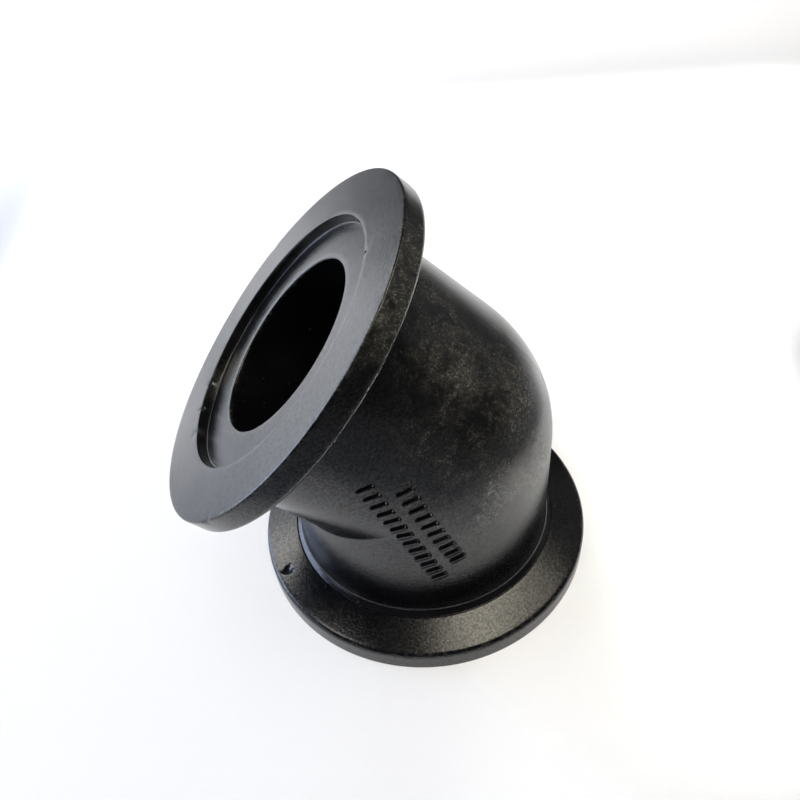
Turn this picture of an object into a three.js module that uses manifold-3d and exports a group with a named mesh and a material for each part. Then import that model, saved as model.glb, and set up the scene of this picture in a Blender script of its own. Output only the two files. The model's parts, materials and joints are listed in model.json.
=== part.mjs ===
// Flanged 45 degree pipe elbow, injection-moulded in one piece from glass-filled polypropylene.
//
// Millimetres, +Z up. The elbow stands on its lower flange: that flange's face lies on Z = 0 and
// looks down, and the upper flange's face looks up towards -X. The plane Y = 0 holds both port axes
// and the mould's parting line, so the part is the same on both sides of it. The origin is the
// middle of the part's footprint box on the surface that it stands on.
//
// Each port is a clamp flange: a flat face with a round gasket recess in it, a cylindrical rim, and
// a conical back that a two-piece V-clamp pulls on. The barrel is a plain tube, its outer bend is
// rounded, and its inner bend is a crease where the two straight legs run into each other.

import * as THREE from "three";
import * as BufferGeometryUtils from "three/addons/utils/BufferGeometryUtils.js";
import Module from "manifold-3d";

// ---- driving dimensions -------------------------------------------------------------------------

const BEND_ANGLE = THREE.MathUtils.degToRad(45); // between the two port axes
const LEG_LENGTH = 24.3; // from a flange's face to where the two port axes cross

const FLANGE_RADIUS = 25.4;
const RIM_HEIGHT = 3.3; // the cylindrical rim, measured from the face
const FACE_EDGE_BREAK = 0.25; // small chamfer between the face and the rim
const BACK_EDGE_BREAK = 0.4; // chamfer between the rim and the conical back
const CONE_FOOT_RADIUS = 20.15; // where the conical back ends, in a crease with the barrel's fillet
const CONE_FOOT_HEIGHT = 4.85;
const BARREL_RADIUS = 19.25;
const BARREL_FILLET = 2.4; // runs into the barrel's wall smoothly

const BORE_RADIUS = 12.65;
const RECESS_RADIUS = 18.35; // gasket recess, at the flange's face
const RECESS_DRAFT = 0.15; // how much narrower the recess is at its floor
const RECESS_DEPTH = 1.5;

const OUTER_BEND_CENTRELINE = 4.3; // radius of the barrel's centreline around the bend
const BORE_BEND_CENTRELINE = 0; // the two core pins meet in a ball nose

const SIDES = 72; // facets around a port axis
const FILLET_STEPS = 6;
const BEND_STEPS = 72; // facets of a full turn around the bend's pivot
const SECTOR_OVERLAP = THREE.MathUtils.degToRad(3); // how far the bend's sector reaches into each leg
const CUT_PAST = 1; // how far a cutter runs past a flange's face

// ---- booleans -----------------------------------------------------------------------------------

const wasm = await Module();
wasm.setup();

/** A closed three.js geometry as a solid, with shared vertices merged and flat triangles dropped. */
function solidFrom(geometry) {
  const bare = geometry.clone();
  bare.deleteAttribute("normal");
  bare.deleteAttribute("uv");
  const merged = BufferGeometryUtils.mergeVertices(bare);
  const index = merged.index.array;
  const triangles = [];
  for (let i = 0; i < index.length; i += 3) {
    const [a, b, c] = [index[i], index[i + 1], index[i + 2]];
    if (a !== b && b !== c && c !== a) triangles.push(a, b, c);
  }
  return new wasm.Manifold(
    new wasm.Mesh({
      numProp: 3,
      vertProperties: new Float32Array(merged.attributes.position.array),
      triVerts: new Uint32Array(triangles),
    }),
  );
}

/** A solid as a three.js geometry with flat-shaded facets. */
function geometryFrom(solid) {
  const { vertProperties, triVerts } = solid.getMesh();
  const indexed = new THREE.BufferGeometry();
  indexed.setAttribute("position", new THREE.BufferAttribute(new Float32Array(vertProperties), 3));
  indexed.setIndex(new THREE.BufferAttribute(new Uint32Array(triVerts), 1));
  const geometry = indexed.toNonIndexed();
  geometry.computeVertexNormals();
  return geometry;
}

// ---- placing a leg ------------------------------------------------------------------------------

const knee = new THREE.Vector3(0, 0, LEG_LENGTH); // where the port axes cross
const upperAxis = new THREE.Vector3(-Math.sin(BEND_ANGLE), 0, Math.cos(BEND_ANGLE));
const upperFaceCentre = knee.clone().addScaledVector(upperAxis, LEG_LENGTH);

/** Moves what was made as a lower leg, face at Z = 0 and axis up, to the upper port. */
function toUpperPort(geometry) {
  const turned = geometry.clone();
  turned.rotateY(Math.PI - BEND_ANGLE);
  turned.translate(...upperFaceCentre.toArray());
  return turned;
}

/** A solid of revolution around +Z from [radius, height] pairs that start and end on the axis. */
function revolved(profile) {
  const points = profile.map(([radius, height]) => new THREE.Vector2(radius, height));
  const geometry = new THREE.LatheGeometry(points, SIDES);
  geometry.rotateY(Math.PI / 2); // puts a vertex line on X before the axis is stood up
  geometry.rotateX(Math.PI / 2);
  return geometry;
}

// ---- one leg: flange and straight barrel --------------------------------------------------------

/** The fillet between the cone's foot and the barrel, as [radius, height] pairs going up. */
function barrelFillet() {
  const sweep = Math.acos(1 - (CONE_FOOT_RADIUS - BARREL_RADIUS) / BARREL_FILLET);
  const top = CONE_FOOT_HEIGHT + BARREL_FILLET * Math.sin(sweep);
  const points = [];
  for (let step = 0; step <= FILLET_STEPS; step++) {
    const turn = sweep * (1 - step / FILLET_STEPS);
    points.push([
      BARREL_RADIUS + BARREL_FILLET * (1 - Math.cos(turn)),
      top - BARREL_FILLET * Math.sin(turn),
    ]);
  }
  return points;
}

function legOutside() {
  const bendStart = LEG_LENGTH - OUTER_BEND_CENTRELINE * Math.tan(BEND_ANGLE / 2);
  return revolved([
    [0, 0],
    [FLANGE_RADIUS - FACE_EDGE_BREAK, 0],
    [FLANGE_RADIUS, FACE_EDGE_BREAK],
    [FLANGE_RADIUS, RIM_HEIGHT - BACK_EDGE_BREAK],
    [FLANGE_RADIUS - BACK_EDGE_BREAK, RIM_HEIGHT],
    ...barrelFillet(),
    [BARREL_RADIUS, bendStart],
    [0, bendStart],
  ]);
}

/** The space inside a leg: the gasket recess and the bore, running past the face. */
function legInside() {
  return revolved([
    [0, -CUT_PAST],
    [RECESS_RADIUS, -CUT_PAST],
    [RECESS_RADIUS, 0],
    [RECESS_RADIUS - RECESS_DRAFT, RECESS_DEPTH],
    [BORE_RADIUS, RECESS_DEPTH],
    [BORE_RADIUS, LEG_LENGTH],
    [0, LEG_LENGTH],
  ]);
}

// ---- the bend -----------------------------------------------------------------------------------

/**
 * The outer part of a bend: a round section of the given radius swept about a pivot that lies the
 * centreline's radius inside the port axes. Only the half beyond the pivot is kept, and the two
 * legs themselves meet on the inner side.
 */
function bendSector(sectionRadius, centreline) {
  const pivot = new THREE.Vector3(-centreline, 0, LEG_LENGTH - centreline * Math.tan(BEND_ANGLE / 2));
  const poleAngle = Math.acos(-centreline / sectionRadius);
  const facet = (2 * Math.PI) / SIDES;
  const lastFacet = Math.ceil(poleAngle / facet) - 1;
  const poleHeight = sectionRadius * Math.sin(poleAngle);
  const profile = [new THREE.Vector2(0, -poleHeight)];
  for (let k = -lastFacet; k <= lastFacet; k++) {
    profile.push(
      new THREE.Vector2(
        centreline + sectionRadius * Math.cos(k * facet),
        sectionRadius * Math.sin(k * facet),
      ),
    );
  }
  profile.push(new THREE.Vector2(0, poleHeight));
  const whole = new THREE.LatheGeometry(profile, BEND_STEPS);
  whole.rotateY(Math.PI / 2);

  const reach = 2 * (centreline + sectionRadius);
  const from = -SECTOR_OVERLAP;
  const to = BEND_ANGLE + SECTOR_OVERLAP;
  const outline = new THREE.Shape([
    new THREE.Vector2(0, 0),
    new THREE.Vector2(reach * Math.cos(from), reach * Math.sin(from)),
    new THREE.Vector2(reach * Math.cos(to), reach * Math.sin(to)),
  ]);
  const wedge = new THREE.ExtrudeGeometry(outline, { depth: 2 * reach, bevelEnabled: false });
  wedge.translate(0, 0, -reach);
  wedge.rotateX(Math.PI / 2);

  const sector = solidFrom(whole).intersect(solidFrom(wedge));
  return sector.translate(...pivot.toArray());
}

// ---- the moulding -------------------------------------------------------------------------------

function elbowBody() {
  const outside = solidFrom(legOutside())
    .add(solidFrom(toUpperPort(legOutside())))
    .add(bendSector(BARREL_RADIUS, OUTER_BEND_CENTRELINE));
  const inside = solidFrom(legInside())
    .add(solidFrom(toUpperPort(legInside())))
    .add(bendSector(BORE_RADIUS, BORE_BEND_CENTRELINE));
  const polypropylene = new THREE.MeshStandardMaterial({
    color: 0x1b1c1f,
    roughness: 0.5,
    metalness: 0,
  });
  const mesh = new THREE.Mesh(geometryFrom(outside.subtract(inside)), polypropylene);
  mesh.name = "elbow_body";
  return mesh;
}

// ---- assembly -----------------------------------------------------------------------------------

const upperEdgeRadius = FLANGE_RADIUS - FACE_EDGE_BREAK; // of the upper flange's flat face
const farthestLeft = upperFaceCentre.x - upperEdgeRadius * Math.cos(BEND_ANGLE);
const farthestRight = FLANGE_RADIUS;

const elbow = new THREE.Group();
elbow.name = "pipe_elbow";
elbow.position.x = -(farthestLeft + farthestRight) / 2;
elbow.add(elbowBody());

export default elbow;
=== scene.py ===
"""Looks of the 45 degree flanged pipe elbow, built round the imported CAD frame.

The moulding is one continuous skin: a grid whose columns run round the pipe and whose rows follow
the wall's outline, from the bore over the flange to the barrel of the lower leg, and back the same
way on the upper leg. The upper leg is the mirror image of the lower one in the mitre plane, which
is the plane where the two legs meet. Lengths are millimetres until a mesh is made, and the lamps'
are metres. A place on a leg is given by its angle round the port axis, with 0 degrees on the outer
bend and 270 degrees towards the camera, by its radius, and by its height from that leg's face.
"""

import json
import math

import bpy
import numpy as np
from mathutils import Euler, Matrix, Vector


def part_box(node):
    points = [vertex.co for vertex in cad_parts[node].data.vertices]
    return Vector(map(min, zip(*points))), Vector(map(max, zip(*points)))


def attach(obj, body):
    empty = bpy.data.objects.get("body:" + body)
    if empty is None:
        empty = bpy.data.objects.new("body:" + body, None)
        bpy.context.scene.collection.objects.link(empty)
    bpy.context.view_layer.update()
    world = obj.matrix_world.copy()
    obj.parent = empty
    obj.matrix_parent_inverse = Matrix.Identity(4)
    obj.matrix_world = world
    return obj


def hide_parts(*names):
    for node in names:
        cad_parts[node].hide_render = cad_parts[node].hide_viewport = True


MM = 0.001

# ---- sizes --------------------------------------------------------------------------------------

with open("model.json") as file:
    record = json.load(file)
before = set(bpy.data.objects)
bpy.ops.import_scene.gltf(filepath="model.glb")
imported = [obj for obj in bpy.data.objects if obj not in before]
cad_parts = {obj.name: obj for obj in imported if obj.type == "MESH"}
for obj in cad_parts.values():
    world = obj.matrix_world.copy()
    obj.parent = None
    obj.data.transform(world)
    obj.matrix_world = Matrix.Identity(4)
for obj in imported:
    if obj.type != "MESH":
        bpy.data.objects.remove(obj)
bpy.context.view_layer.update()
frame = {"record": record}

low, high = (np.array(corner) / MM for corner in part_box("elbow_body"))
mounts = {m["name"]: m for m in frame["record"]["mounts"]}
upper_face = np.array(mounts["upper_flange_face"]["pos_m"]) / MM
upper_axis = np.array(mounts["upper_flange_face"]["axis"])

FLANGE_RADIUS = (high[1] - low[1]) / 2
PORT_X = mounts["lower_flange_face"]["pos_m"][0] / MM  # the lower port's axis
BEND_ANGLE = math.acos(upper_axis[2])
LEG = upper_face[2] / (1 + math.cos(BEND_ANGLE))  # from a face to where the port axes cross
RECESS_DEPTH = mounts["lower_gasket_seat"]["pos_m"][2] / MM
MITRE = BEND_ANGLE / 2

RIM_HEIGHT = 3.3
FACE_EDGE = 0.26  # rounding between the face and the rim
BACK_EDGE = 0.8  # rounding between the rim and the conical back
CONE_FOOT = (20.3, 4.8)  # radius and height of the lip where the conical back ends
CONE_SLOPE = (CONE_FOOT[1] - RIM_HEIGHT) / (FLANGE_RADIUS - CONE_FOOT[0])
LIP_EDGE = 0.3
GROOVE = (20.14, 4.76)  # bottom of the shallow groove inside that lip
GROOVE_EDGE = 0.1

BARREL_RADIUS = 19.25
BARREL_CORNER = 5.46  # height where the slope out of the groove heads for the barrel's wall
BARREL_FILLET = 1.1
BARREL_START = 6.8  # height from which the barrel's rows share out the leg up to the bend
OUTER_BEND_CENTRELINE = 4.3  # radius of the barrel's centreline round the bend
BARREL_CREASE = 1.4  # fillet radius where the legs meet on the inner side
CREASE_BLEND = 0.8  # how gradually the crease opens into the outer bend

BORE_RADIUS = 12.65
BORE_START = 3.2
BORE_BEND_CENTRELINE = 0
BORE_CREASE = 0.5
RECESS_RADIUS = 18.35
RECESS_DRAFT = 0.15
RECESS_CORNER = 0.25  # rounding at the recess's floor, on both sides of it
RECESS_EDGE = 0.06

LOWER, UPPER = 0, 1


# ---- outline of one leg -------------------------------------------------------------------------


def rounded(corners):
    """Points along an outline whose corners are rounded.

    corners holds (spacing, radius, height, rounding, steps, proud): the distance between points on
    the straight run that leads to the corner, where the corner is, its rounding in so many steps,
    and how much it stands out and so gets worn and a painted edge highlight. Returns radii, heights and
    proud.
    """
    arcs = []
    for i, (spacing, r, h, rounding, steps, proud) in enumerate(corners):
        point = np.array([r, h])
        if rounding == 0:
            arcs.append((spacing, point[None], proud))
            continue
        before = np.array(corners[i - 1][1:3]) - point
        after = np.array(corners[i + 1][1:3]) - point
        before, after = (v / np.linalg.norm(v) for v in (before, after))
        half = math.acos(np.clip(before @ after, -1, 1)) / 2
        middle = (before + after) / np.linalg.norm(before + after)
        centre = point + middle * rounding / math.sin(half)
        reach = rounding / math.tan(half)
        start, end = point + before * reach - centre, point + after * reach - centre
        turn = math.atan2(start[0] * end[1] - start[1] * end[0], start @ end)
        angles = np.linspace(0, turn, steps + 1)[:, None]
        quarter = np.array([-start[1], start[0]])
        arc = centre + start * np.cos(angles) + quarter * np.sin(angles)
        arcs.append((spacing, arc, proud))
    points, stands = [], []
    for i, (spacing, arc, proud) in enumerate(arcs):
        if i:
            gap = arc[0] - points[-1][-1]
            count = max(1, round(float(np.linalg.norm(gap)) / spacing))
            points.append(points[-1][-1] + np.arange(1, count)[:, None] / count * gap)
            stands.append(np.zeros(count - 1))
        points.append(arc)
        stands.append(np.full(len(arc), float(proud)))
    points = np.concatenate(points)
    return points[:, 0], points[:, 1], np.concatenate(stands)


def flange_outline():
    """The lower leg's wall from the bore, over the recess, face, rim and cone, to the barrel."""
    return rounded(
        [  # spacing, radius, height, rounding, steps, proud
            (1, BORE_RADIUS, BORE_START, 0, 1, 0),
            (0.5, BORE_RADIUS, RECESS_DEPTH, RECESS_CORNER, 4, 0.8),
            (0.7, RECESS_RADIUS - RECESS_DRAFT, RECESS_DEPTH, RECESS_CORNER, 4, 0),
            (0.4, RECESS_RADIUS, 0, RECESS_EDGE, 3, 0.25),
            (0.6, FLANGE_RADIUS, 0, FACE_EDGE, 5, 1),
            (0.4, FLANGE_RADIUS, RIM_HEIGHT, BACK_EDGE, 8, 0.6),
            (0.32, *CONE_FOOT, LIP_EDGE, 4, 0.3),
            (0.3, *GROOVE, GROOVE_EDGE, 3, 0),
            (0.2, BARREL_RADIUS, BARREL_CORNER, BARREL_FILLET, 12, 0),
            (0.5, BARREL_RADIUS, BARREL_START, 0, 1, 0),
        ]
    )


# ---- the skin's grid ----------------------------------------------------------------------------

COLUMN_STEP = 1.25  # in degrees, as the angles below
SEAM_ANGLES = (0, 180)
MARK_ANGLES = (162, 176.5, 190.5, 204.5, 208)  # the recess edge's chips and the nick
CLOSEST = 0.2  # a column nearer than this to the next one is left out

BORE_ROWS = (8, 9)  # rows on the straight wall and round the bend
BARREL_ROWS = (14, 18)


def close_columns(middle, reach, step):
    """Evenly spaced angles out to a reach on both sides of a middle one."""
    return middle + np.arange(-reach, reach + step / 2, step)


def columns():
    """Angles round the port axis, in radians, closer together where the surface has fine marks."""
    even = np.arange(0, 360, COLUMN_STEP)
    seams = [close_columns(middle, reach=1.5, step=0.25) for middle in SEAM_ANGLES]
    marks = [close_columns(middle, reach=2.4, step=0.4) for middle in MARK_ANGLES]
    angles = np.unique(np.round(np.concatenate([even, *seams, *marks]) % 360, 3))
    crowded = np.diff(angles, append=angles[0] + 360) < CLOSEST
    return np.radians(angles[~crowded])


def knee_rows(phi, radius, height, centreline, crease, row_counts):
    """Rows of points from a height on a straight wall, round the bend, to the mitre plane.

    centreline is the radius of the wall's centreline round the outer bend, and crease is the
    fillet's radius on the inner side. The turning radius passes smoothly from one to the other.
    """
    x, y = radius * np.cos(phi), radius * np.sin(phi)
    free = (centreline + x - crease) / CREASE_BLEND
    turn_radius = crease + CREASE_BLEND * np.log1p(np.exp(free))
    start = LEG + (x - turn_radius) * math.tan(MITRE)
    straight_rows, arc_rows = row_counts
    rows = []
    for share in np.arange(1, straight_rows + 1) / straight_rows:
        rows.append((x, y, height + share * (start - height)))
    for angle in np.arange(1, arc_rows + 1) / arc_rows * MITRE:
        turned = x - turn_radius * (1 - math.cos(angle))
        rows.append((turned, y, start + turn_radius * math.sin(angle)))
    return [np.stack(row, axis=1) for row in rows]


def mirrored(points):
    """Points of the lower leg as the same points of the upper leg, with the lower axis at x = 0."""
    normal = np.array([-math.sin(MITRE), 0, math.cos(MITRE)])
    away = (points - np.array([0, 0, LEG])) @ normal
    return points - 2 * away[..., None] * normal


def place(leg, degrees, radius, height):
    """The point at an angle, radius and height of a leg, with the lower axis at x = 0."""
    angle = math.radians(degrees)
    point = np.array([radius * math.cos(angle), radius * math.sin(angle), height])
    return mirrored(point) if leg == UPPER else point


def grid_normals(points):
    """Outward unit normals of a grid that closes on itself both ways."""
    along = np.roll(points, -1, 0) - np.roll(points, 1, 0)
    around = np.roll(points, -1, 1) - np.roll(points, 1, 1)
    normal = np.cross(around, along)
    return normal / np.linalg.norm(normal, axis=-1, keepdims=True)


def skin_grid():
    """The whole wall as rows of points, and 0 to 1 values that say what each row is."""
    phi = columns()
    radius, height, proud = flange_outline()
    bore = knee_rows(phi, BORE_RADIUS, BORE_START, BORE_BEND_CENTRELINE, BORE_CREASE, BORE_ROWS)
    barrel = knee_rows(
        phi, BARREL_RADIUS, BARREL_START, OUTER_BEND_CENTRELINE, BARREL_CREASE, BARREL_ROWS
    )
    flange = [
        np.stack([r * np.cos(phi), r * np.sin(phi), np.full_like(phi, h)], axis=1)
        for r, h in zip(radius, height)
    ]
    half = np.array(bore[::-1] + flange + barrel)
    outside_recess = radius > (RECESS_RADIUS + BARREL_RADIUS) / 2
    rim_and_back = outside_recess & (height > FACE_EDGE / 2)
    bore_rows = np.zeros(len(bore))
    barrel_rows = np.ones(len(barrel))
    rows = {
        "proud": np.concatenate([bore_rows, proud, 0 * barrel_rows]),
        "barrel": np.concatenate([bore_rows, 0 * proud, barrel_rows]),
        "outside": np.concatenate([bore_rows, rim_and_back, barrel_rows]),
    }
    rows = {name: np.concatenate([v, v[-2:0:-1]]) for name, v in rows.items()}
    return np.concatenate([half, mirrored(half[-2:0:-1])]), rows


# ---- marks of moulding and use ------------------------------------------------------------------

SEAM_HALF_WIDTH = 0.16
SEAM_LIFT = 0.03
SEAM_MIDDLE = 26  # height on the outer bend where the parting line's painted highlight is strongest
SEAM_REACH = 13

NICK_DEPTH = 0.5
NICK_HALF_WIDTH = 0.2
SPUR_HALF_WIDTH = 0.12
BLUNT_TIP = 0.02  # what is left of a stroke's taper at its very tips
SOFT_EDGE = 0.6  # how far a stroke fades past its half width, as a share of that

CHIP_HEIGHT = 0.1  # how far inside the recess its edge's chips lie
PALE_CHIP = 0.2  # depth from which a chip fully shows the colour of broken plastic


def near(points, centre, size):
    """1 at a centre, falling smoothly towards 0 at about a size away."""
    return np.exp(-(((points - centre) ** 2).sum(-1)) / size**2)


def stroke(points, start, end, half_width):
    """1 along a short stroke that is widest in its middle and pointed at both ends."""
    span = end - start
    along = np.clip((points - start) @ span / (span @ span), 0, 1)
    gap = np.linalg.norm(points - (start + along[..., None] * span), axis=-1)
    taper = np.clip(np.minimum(along, 1 - along) * 2, BLUNT_TIP, 1)
    return np.clip(1 + SOFT_EDGE - gap / (half_width * np.sqrt(taper)), 0, 1)


def seam_and_highlight_mask(points, rows):
    """The mould's parting line along the outer bend: a slight ridge, and a painted highlight along it.
    """
    line = np.exp(-((points[..., 1] / SEAM_HALF_WIDTH) ** 2))
    middle = place(LOWER, 0, BARREL_RADIUS, SEAM_MIDDLE)
    return line * near(points, middle, SEAM_REACH) * rows["barrel"][:, None]


def nick_mask(points):
    """A cut in the back of the lower flange, with one side spur."""
    angles_and_radii = ((205.1, 24.45), (206.3, 23.8), (208.5, 22.95), (204.0, 23.0))
    tip, middle, heel, spur_end = (
        place(LOWER, degrees, radius, RIM_HEIGHT + (FLANGE_RADIUS - radius) * CONE_SLOPE)
        for degrees, radius in angles_and_radii
    )
    cut = stroke(points, tip, heel, NICK_HALF_WIDTH)
    spur = stroke(points, middle, spur_end, SPUR_HALF_WIDTH)
    steepness = 2
    return np.clip(np.maximum(cut, spur) * steepness, 0, 1)


def chips(points):
    """How deep the small chips are that are missing from the upper flange's edges."""
    in_recess = (RECESS_RADIUS, CHIP_HEIGHT)
    on_face = (FLANGE_RADIUS, 0)
    spots = [  # edge, angle, size, depth
        (in_recess, 162.2, 0.45, 0.3),
        (in_recess, 176.6, 0.3, 0.3),
        (in_recess, 190.6, 0.7, 0.25),
        (in_recess, 355, 0.35, 0.15),
        (on_face, 247, 0.4, 0.32),
        (on_face, 328, 0.4, 0.22),
        (on_face, 296, 0.3, 0.12),
        (on_face, 100, 0.4, 0.12),
    ]
    depth = np.zeros(points.shape[:2])
    for edge, degrees, size, deepest in spots:
        centre = place(UPPER, degrees, *edge)
        depth = np.maximum(depth, deepest * near(points, centre, size))
    return depth


def scuff_mask(points, rows):
    """How strongly each point of the outside has been rubbed."""
    areas = [  # leg, angle, radius, height, size, strength
        (UPPER, 354, BARREL_RADIUS, 11, 4.5, 0.7),
        (UPPER, 331, BARREL_RADIUS, 16, 6.0, 1.0),
        (UPPER, 335, BARREL_RADIUS, 25, 6.0, 1.0),
        (LOWER, 325, BARREL_RADIUS, 27, 7.0, 1.0),
        (LOWER, 300, BARREL_RADIUS, 25, 7.0, 0.8),
        (UPPER, 300, BARREL_RADIUS, 20, 7.0, 0.6),
        (LOWER, 345, BARREL_RADIUS, 20, 5.0, 0.6),
        (LOWER, 75, BARREL_RADIUS, 18, 9.0, 0.7),
        (UPPER, 110, BARREL_RADIUS, 15, 8.0, 0.6),
        (UPPER, 345, FLANGE_RADIUS, 1.8, 5.0, 1.0),
        (UPPER, 325, FLANGE_RADIUS, 1.8, 4.5, 0.9),
        (UPPER, 40, FLANGE_RADIUS, 1.8, 6.0, 0.5),
    ]
    mask = np.zeros(points.shape[:2])
    for leg, degrees, radius, height, size, strength in areas:
        centre = place(leg, degrees, radius, height)
        mask = np.maximum(mask, strength * near(points, centre, size))
    return mask * rows["outside"][:, None]


# ---- the skin's mesh ----------------------------------------------------------------------------


def mesh_from_grid(name, points):
    """A smooth mesh of quads over a grid that closes on itself both ways, in metres."""
    rows, cols = points.shape[:2]
    index = np.arange(rows * cols).reshape(rows, cols)
    after = np.roll(index, -1, 1)
    quads = np.stack([index, after, np.roll(after, -1, 0), np.roll(index, -1, 0)], axis=-1)
    quads = quads.reshape(-1, 4)
    mesh = bpy.data.meshes.new(name)
    mesh.vertices.add(rows * cols)
    mesh.vertices.foreach_set("co", (points * MM).astype(np.float32).ravel())
    mesh.loops.add(quads.size)
    mesh.loops.foreach_set("vertex_index", quads.astype(np.int32).ravel())
    mesh.polygons.add(len(quads))
    mesh.polygons.foreach_set("loop_start", np.arange(0, quads.size, 4, dtype=np.int32))
    mesh.update(calc_edges=True)
    mesh.validate()
    mesh.shade_smooth()
    return mesh


def add_object(name, data):
    """A new object in the scene's own collection."""
    piece = bpy.data.objects.new(name, data)
    bpy.context.scene.collection.objects.link(piece)
    return piece


def build_skin():
    """The moulding, with the masks of its marks as attributes for the material."""
    points, rows = skin_grid()
    normals = grid_normals(points)
    seam_and_highlight, nick, chip = seam_and_highlight_mask(points, rows), nick_mask(points), chips(points)
    masks = {
        "proud": np.broadcast_to(rows["proud"][:, None], seam_and_highlight.shape),
        "seam_and_highlight": seam_and_highlight,
        "nick": nick,
        "chip": np.clip(chip / PALE_CHIP, 0, 1),
        "scuff": scuff_mask(points, rows),
    }
    lift = SEAM_LIFT * seam_and_highlight - NICK_DEPTH * nick - chip
    points = points + normals * lift[..., None]
    points[..., 0] += PORT_X
    mesh = mesh_from_grid("elbow_skin", points)
    for name, values in masks.items():
        attribute = mesh.attributes.new(name, "FLOAT", "POINT")
        attribute.data.foreach_set("value", values.astype(np.float32).ravel())
    return add_object("elbow_skin", mesh)


# ---- raised marks -------------------------------------------------------------------------------

BAR_HALF_LENGTH = 1.2
BAR_HALF_WIDTH = 0.33
BAR_CORNER = 0.3
CORNER_STEPS = 5
BAR_PITCH = 1.75
BAR_ROWS = ((13, 0, -2.2), (10, 0.5, 1.5))  # count, and the row's middle along and across


def on_barrel(x, z, lift):
    """The point of the barrel's near side at x and z, lifted off the surface by lift."""
    pivot_x = -OUTER_BEND_CENTRELINE
    pivot_z = LEG - OUTER_BEND_CENTRELINE * math.tan(MITRE)
    angle = math.atan2(z - pivot_z, x - pivot_x)
    if x < pivot_x:
        angle = BEND_ANGLE if z - LEG > -x * math.tan(MITRE) else 0
    angle = min(max(angle, 0), BEND_ANGLE)
    outwards = np.array([math.cos(angle), math.sin(angle)])
    across = (x - pivot_x) * outwards[0] + (z - pivot_z) * outwards[1] + pivot_x
    depth = math.sqrt(BARREL_RADIUS**2 - across**2)
    swell = lift / BARREL_RADIUS
    shift = outwards * across * swell
    return np.array([x + shift[0], -depth * (1 + swell), z + shift[1]])


def bar_outline():
    """A rectangle with rounded corners, as pairs along the bar's length and its width."""
    outline = []
    for quarter, (side_u, side_v) in enumerate(((1, 1), (-1, 1), (-1, -1), (1, -1))):
        for step in range(CORNER_STEPS + 1):
            angle = math.radians(90 * (quarter + step / CORNER_STEPS))
            u = side_u * (BAR_HALF_LENGTH - BAR_CORNER) + BAR_CORNER * math.cos(angle)
            v = side_v * (BAR_HALF_WIDTH - BAR_CORNER) + BAR_CORNER * math.sin(angle)
            outline.append((u, v))
    return outline


def raised_bar(along, across):
    """One plain raised bar: its vertex rings from its foot in the wall up to its top.

    A ring is the bar's outline, grown by so much and lifted by so much off the barrel.
    """
    width_share = 0.9  # how much of the growth the bar's width takes part in
    outline = bar_outline()
    rings = [(0.08, -0.25), (0.08, 0.0), (0.0, 0.1), (0.0, 0.24), (-0.04, 0.31), (-0.12, 0.34)]
    baseline = np.array([math.sin(MITRE), -math.cos(MITRE)])  # runs square to the mitre plane
    upright = np.array([math.cos(MITRE), math.sin(MITRE)])
    points = []
    for growth, lift in rings:
        for u, v in outline:
            u, v = u + growth * np.sign(u), v + growth * np.sign(v) * width_share
            spot = baseline * (along + v) + upright * (across + u)
            points.append(on_barrel(spot[0], LEG + spot[1], lift))
    return np.array(points), len(outline), len(rings)


def build_marks():
    """Two rows of plain bars on the near side of the barrel, centred on the mitre plane."""
    bars = [
        (middle + BAR_PITCH * (i - (count - 1) / 2), across)
        for count, middle, across in BAR_ROWS
        for i in range(count)
    ]
    mesh = bpy.data.meshes.new("raised_marks")
    vertices, faces = [], []
    for along, across in bars:
        points, around, levels = raised_bar(along, across)
        first = len(vertices)
        points[:, 0] += PORT_X
        vertices += [tuple(p * MM) for p in points]
        for level in range(levels - 1):
            for i in range(around):
                a, b = first + level * around + i, first + level * around + (i + 1) % around
                faces.append((a, a + around, b + around, b))
        foot = [first + i for i in range(around)]
        top = [first + (levels - 1) * around + i for i in reversed(range(around))]
        faces += [foot, top]
    mesh.from_pydata(vertices, [], faces)
    mesh.update()
    mesh.shade_smooth()
    return add_object("raised_marks", mesh)


# ---- material -----------------------------------------------------------------------------------


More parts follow.
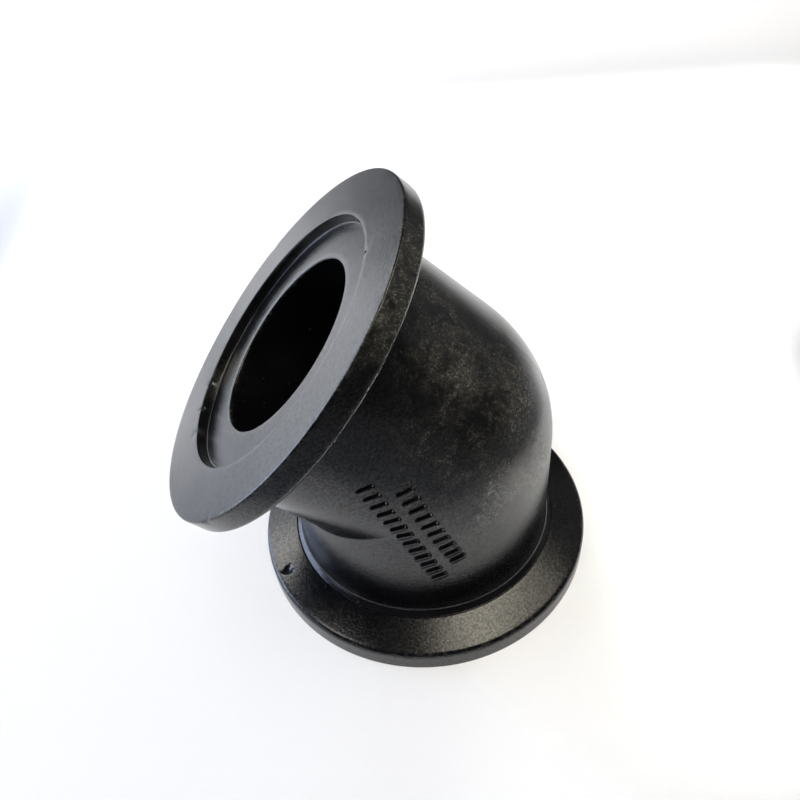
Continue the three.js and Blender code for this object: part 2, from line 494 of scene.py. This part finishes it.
class Nodes:
    """Short calls for a material's nodes."""

    def __init__(self, material):
        self.tree = material.node_tree
        self.object_mm = self.add("ShaderNodeMapping")
        self.object_mm.inputs["Scale"].default_value = (1 / MM,) * 3
        texture = self.add("ShaderNodeTexCoord")
        self.link(texture.outputs["Object"], self.object_mm.inputs["Vector"])

    def add(self, kind):
        return self.tree.nodes.new(kind)

    def link(self, source, target):
        self.tree.links.new(source, target)

    def noise(self, per_mm, detail=2.0, distortion=0.0, roughness=0.5):
        """Noise over the object, with about per_mm features in a millimetre."""
        node = self.add("ShaderNodeTexNoise")
        node.inputs["Scale"].default_value = per_mm
        node.inputs["Detail"].default_value = detail
        node.inputs["Distortion"].default_value = distortion
        node.inputs["Roughness"].default_value = roughness
        self.link(self.object_mm.outputs["Vector"], node.inputs["Vector"])
        return node.outputs["Fac"]

    def attribute(self, name):
        """One of the masks that the skin carries; 0 on a piece without it."""
        node = self.add("ShaderNodeAttribute")
        node.attribute_name = name
        return node.outputs["Fac"]

    def math(self, operation, *values, clamp=False):
        """One arithmetic node; each value is a number or a socket."""
        node = self.add("ShaderNodeMath")
        node.operation = operation
        node.use_clamp = clamp
        for value, socket in zip(values, node.inputs):
            if isinstance(value, (int, float)):
                socket.default_value = value
            else:
                self.link(value, socket)
        return node.outputs["Value"]

    def times(self, a, b):
        return self.math("MULTIPLY", a, b)

    def ramp(self, value, start, end, low=0.0, high=1.0):
        """Maps start..end to low..high smoothly, and holds beyond them."""
        node = self.add("ShaderNodeMapRange")
        node.interpolation_type = "SMOOTHSTEP"
        node.inputs["From Min"].default_value = start
        node.inputs["From Max"].default_value = end
        node.inputs["To Min"].default_value = low
        node.inputs["To Max"].default_value = high
        self.link(value, node.inputs["Value"])
        return node.outputs["Result"]

    def mix(self, share, a, b):
        """a where share is 0 and b where it is 1; each a colour or a socket."""
        node = self.add("ShaderNodeMix")
        node.data_type = "RGBA"
        self.link(share, node.inputs["Factor"])
        for value, socket in ((a, node.inputs[6]), (b, node.inputs[7])):
            if isinstance(value, tuple):
                socket.default_value = (*value, 1)
            else:
                self.link(value, socket)
        return node.outputs[2]

    def bump(self, height, depth_mm, before=None):
        """A normal that follows a height from 0 to 1 over so many mm, on top of another bump."""
        node = self.add("ShaderNodeBump")
        node.inputs["Strength"].default_value = 1
        node.inputs["Distance"].default_value = depth_mm * MM
        self.link(height, node.inputs["Height"])
        if before:
            self.link(before, node.inputs["Normal"])
        return node.outputs["Normal"]


BLACK = (0.0032, 0.0033, 0.0038)
PALER = 1.5  # how much lighter the black is in the flow marks
# colour of worn edges, partly a painted highlight along them
WORN_AND_HIGHLIGHT = (0.04, 0.039, 0.034)
# pale colour of bare fibres, also used for the painted highlight on the parting line
FIBRE_AND_SEAM_HIGHLIGHT = (0.34, 0.335, 0.29)
BROKEN = (0.03, 0.03, 0.03)
NICK_PAINTED_SHADE = (0.001, 0.001, 0.001)  # painted shade inside the nick, darker than the black moulding

HAZE_SHARE = 0.13
# share of pale colour painted as the highlight along the parting line
SEAM_HIGHLIGHT_SHARE = 0.5
FIBRE_SHARE = 0.95
LONE_SHARE = 0.2
BUMP_DEPTH = 0.02


def rubbed_fibres(n, clusters):
    """Bare fibres: strands and flecks in clusters where it is scuffed, and a few faint ones."""
    distance = n.math("ABSOLUTE", n.math("SUBTRACT", n.noise(2.3, detail=2, distortion=0.7), 0.5))
    strands = n.ramp(distance, 0.0, 0.045, low=1, high=0)
    gaps = n.ramp(n.noise(1.5, detail=2), 0.42, 0.62)
    flecks = n.ramp(n.noise(4.2, detail=2, distortion=0.5), 0.58, 0.74)
    rubbed = n.math("MAXIMUM", n.times(strands, gaps), flecks)
    scuffed = n.times(n.times(clusters, rubbed), n.attribute("scuff"))
    lone = n.ramp(n.noise(1.3, detail=1), 0.76, 0.82)
    return n.math("MAXIMUM", scuffed, n.times(lone, LONE_SHARE))


def worn_and_highlit_edges(n):
    """Uneven wear, partly a painted highlight, along the edges that stand out."""
    patches = n.ramp(n.noise(0.9, detail=3, distortion=0.5), 0.46, 0.68)
    return n.times(patches, n.attribute("proud"))


def moulding_colour(n, flow):
    """Black, a little uneven, with the pale haze and fibres of scuffs and the marks on top: worn edges
    partly painted as highlight, a painted highlight on the parting line, chips, and painted shade
    inside the nick.
    """
    clusters = n.ramp(n.noise(0.3, detail=5, distortion=0.9, roughness=0.62), 0.38, 0.64)
    haze = n.times(n.math("ADD", clusters, 0.3), n.attribute("scuff"))
    colour = n.mix(n.ramp(flow, 0.35, 0.7), BLACK, tuple(v * PALER for v in BLACK))
    colour = n.mix(n.times(haze, HAZE_SHARE), colour, FIBRE_AND_SEAM_HIGHLIGHT)
    # painted highlight along the parting line
    colour = n.mix(n.times(n.attribute("seam_and_highlight"), SEAM_HIGHLIGHT_SHARE), colour, FIBRE_AND_SEAM_HIGHLIGHT)
    # worn edges, partly a painted highlight along the edges that stand out
    colour = n.mix(worn_and_highlit_edges(n), colour, WORN_AND_HIGHLIGHT)
    colour = n.mix(n.times(rubbed_fibres(n, clusters), FIBRE_SHARE), colour, FIBRE_AND_SEAM_HIGHLIGHT)
    colour = n.mix(n.attribute("chip"), colour, BROKEN)
    # painted shade inside the nick's cut
    return n.mix(n.attribute("nick"), colour, NICK_PAINTED_SHADE)


def moulding_roughness(n, flow, grain):
    """Fairly glossy, and duller where the grain stands up, on scuffs and inside the nick."""
    uneven = n.ramp(flow, 0.3, 0.75, low=0.15, high=0.19)
    rough = n.math("ADD", uneven, n.ramp(grain, 0.35, 0.65, low=0, high=0.06))
    rough = n.math("ADD", rough, n.times(n.attribute("scuff"), 0.06))
    return n.math("ADD", rough, n.times(n.attribute("nick"), 0.5), clamp=True)


def polypropylene():
    """Black glass-filled polypropylene with moulding grain, rubbed fibres, worn edges partly painted as
    highlight, and painted highlight and shade on the seam and nick.
    """
    material = bpy.data.materials.new("moulded_polypropylene")
    material.use_nodes = True
    shader = material.node_tree.nodes["Principled BSDF"]
    shader.inputs["IOR"].default_value = 1.5
    n = Nodes(material)
    grain = n.noise(3.0, detail=3, roughness=0.6)
    flow = n.noise(0.16, detail=1)
    shine = n.ramp(grain, 0.32, 0.68, low=0.32, high=0.7)
    normal = n.bump(grain, BUMP_DEPTH, n.bump(flow, BUMP_DEPTH))
    n.link(moulding_colour(n, flow), shader.inputs["Base Color"])
    n.link(moulding_roughness(n, flow, grain), shader.inputs["Roughness"])
    n.link(shine, shader.inputs["Specular IOR Level"])
    n.link(normal, shader.inputs["Normal"])
    return material


# ---- stage --------------------------------------------------------------------------------------

LAMP_DISTANCE = 0.4  # metres from the part's middle to a softbox
PART_MIDDLE = (0, 0, 0.015)
TABLE_LAMP_HEIGHT = 0.3
NARROW_BEAM = math.radians(5)
SOFT_BEAM = math.radians(40)

BLUE = (0.79, 0.94, 1.3)  # tints of lamps
COOL = (0.96, 1.0, 1.07)
CREAM = (1.03, 1.01, 0.95)
WARM = (1.1, 1.03, 0.86)
TABLE_TINT = (1.03, 1.0, 0.95)
ROOM = (0.07, 0.071, 0.078)


def build_floor():
    """A large pale table, a hair below the part so that the two don't touch."""
    half, sunk = 3.0, -0.00003
    corners = [(-half, -half), (half, -half), (half, half), (-half, half)]
    mesh = bpy.data.meshes.new("floor")
    mesh.from_pydata([(x, y, sunk) for x, y in corners], [], [(0, 1, 2, 3)])
    material = bpy.data.materials.new("pale_floor")
    material.use_nodes = True
    shader = material.node_tree.nodes["Principled BSDF"]
    shader.inputs["Base Color"].default_value = (0.82, 0.82, 0.82, 1)
    shader.inputs["Roughness"].default_value = 0.9
    mesh.materials.append(material)
    floor = add_object("floor", mesh)
    return floor


def table_group(name, floor, state):
    """A collection that holds only the table, to link lamps to it or to keep them off it."""
    group = bpy.data.collections.new(name)
    group.objects.link(floor)
    group.collection_objects[0].light_linking.link_state = state
    return group


def rectangular_lamp(name, size, power, tint):
    """An area lamp that shines along its own -Z; power is for a square metre of it."""
    light = bpy.data.lights.new(name, "AREA")
    light.shape = "RECTANGLE"
    light.size, light.size_y = size
    light.energy = power * size[0] * size[1]
    light.color = tint
    return add_object(name, light)


def softbox(name, azimuth, elevation, size, radiance, tint):
    """A lamp that looks at the part; azimuth is measured from +Y towards +X."""
    a, e = math.radians(azimuth), math.radians(elevation)
    direction = Vector((math.sin(a) * math.cos(e), math.cos(a) * math.cos(e), math.sin(e)))
    lamp = rectangular_lamp(name, size, radiance * math.pi, tint)
    lamp.location = Vector(PART_MIDDLE) + direction * LAMP_DISTANCE
    lamp.rotation_euler = direction.to_track_quat("Z", "Y").to_euler()
    return lamp


def table_lamp(name, table, centre, size, irradiance, beam=NARROW_BEAM):
    """A downlight over a rectangle of the table that lights nothing but the table."""
    lamp = rectangular_lamp(name, size, irradiance, TABLE_TINT)
    lamp.data.spread = beam
    lamp.location = (*centre, TABLE_LAMP_HEIGHT)
    lamp.light_linking.receiver_collection = table
    lamp.light_linking.blocker_collection = table


def build_room_lamps(floor):
    """Low windows on the left and behind, and a high one and ceiling lamps that miss the table."""
    softbox("window", azimuth=-77, elevation=17, size=(0.24, 0.26), radiance=4.7, tint=BLUE)
    softbox("window_left", azimuth=-110, elevation=11, size=(0.17, 0.15), radiance=1.0, tint=BLUE)
    softbox("window_back", azimuth=-48, elevation=17, size=(0.172, 0.27), radiance=2.1, tint=COOL)
    softbox("window_edge", azimuth=-22, elevation=12, size=(0.2, 0.2), radiance=0.25, tint=COOL)
    off_table = [
        softbox("window_high", azimuth=-57, elevation=42, size=(0.11, 0.11), radiance=5.5, tint=CREAM),
        softbox("ceiling_left", azimuth=-104, elevation=57, size=(0.1, 0.09), radiance=6.0, tint=CREAM),
        softbox("ceiling", azimuth=104, elevation=75, size=(0.2, 0.14), radiance=5.4, tint=WARM),
        softbox("ceiling_right", azimuth=68, elevation=60, size=(0.14, 0.12), radiance=2.6, tint=WARM),
    ]
    not_table = table_group("all_but_table", floor, "EXCLUDE")
    for lamp in off_table:
        lamp.light_linking.receiver_collection = not_table
    softbox("right", azimuth=66, elevation=26, size=(0.36, 0.28), radiance=0.14, tint=COOL)


def build_table_lamps(floor):
    """Downlights that fill the shadow round the part and keep the table white further off."""
    table = table_group("table_only", floor, "INCLUDE")
    table_lamp("table_right", table, centre=(0.042, 0.003), size=(0.064, 0.118), irradiance=2.7)
    table_lamp("table_hot", table, centre=(0.056, 0.006), size=(0.034, 0.08), irradiance=4.6)
    table_lamp("table_left", table, centre=(-0.041, 0.003), size=(0.102, 0.118), irradiance=2.2)
    table_lamp("table_back", table, centre=(0.016, 0.1), size=(0.22, 0.12), irradiance=3.0)
    for name, centre, size, irradiance in (
        ("table_far", (-0.08, 0.25), (0.56, 0.22), 3.0),
        ("table_side", (-0.28, 0.06), (0.26, 0.24), 2.4),
        ("table_wide", (0, 0), (1.6, 1.6), 0.5),
    ):
        table_lamp(name, table, centre, size, irradiance, beam=SOFT_BEAM)


def build_room():
    """Dim light from all round."""
    world = bpy.data.worlds.new("room")
    world.use_nodes = True
    world.node_tree.nodes["Background"].inputs["Color"].default_value = (*ROOM, 1)
    bpy.context.scene.world = world


def build_camera():
    """A close wide-angle camera in front of the part, looking down on it."""
    sensor_width, lens = 36, 35.04
    from_port = (2.28, -76.5, 105.11)  # mm from the middle of the lower port's face
    turn = (44.906, 4.143, -0.966)  # degrees about X, Y and Z
    camera = bpy.data.cameras.new("camera")
    camera.sensor_width = sensor_width
    camera.lens = lens
    camera.clip_start = 0.005
    holder = add_object("camera", camera)
    holder.location = Vector((PORT_X + from_port[0], *from_port[1:])) * MM
    holder.rotation_euler = Euler([math.radians(v) for v in turn])
    bpy.context.scene.camera = holder


# ---- assembly -----------------------------------------------------------------------------------

build_camera()
table_top = build_floor()
build_room_lamps(table_top)
build_table_lamps(table_top)
build_room()
bpy.context.scene.view_settings.view_transform = "Standard"

plastic = polypropylene()
skin = build_skin()
marks = build_marks()
for piece in (skin, marks):
    piece.data.materials.append(plastic)
    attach(piece, "root")
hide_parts("elbow_body")
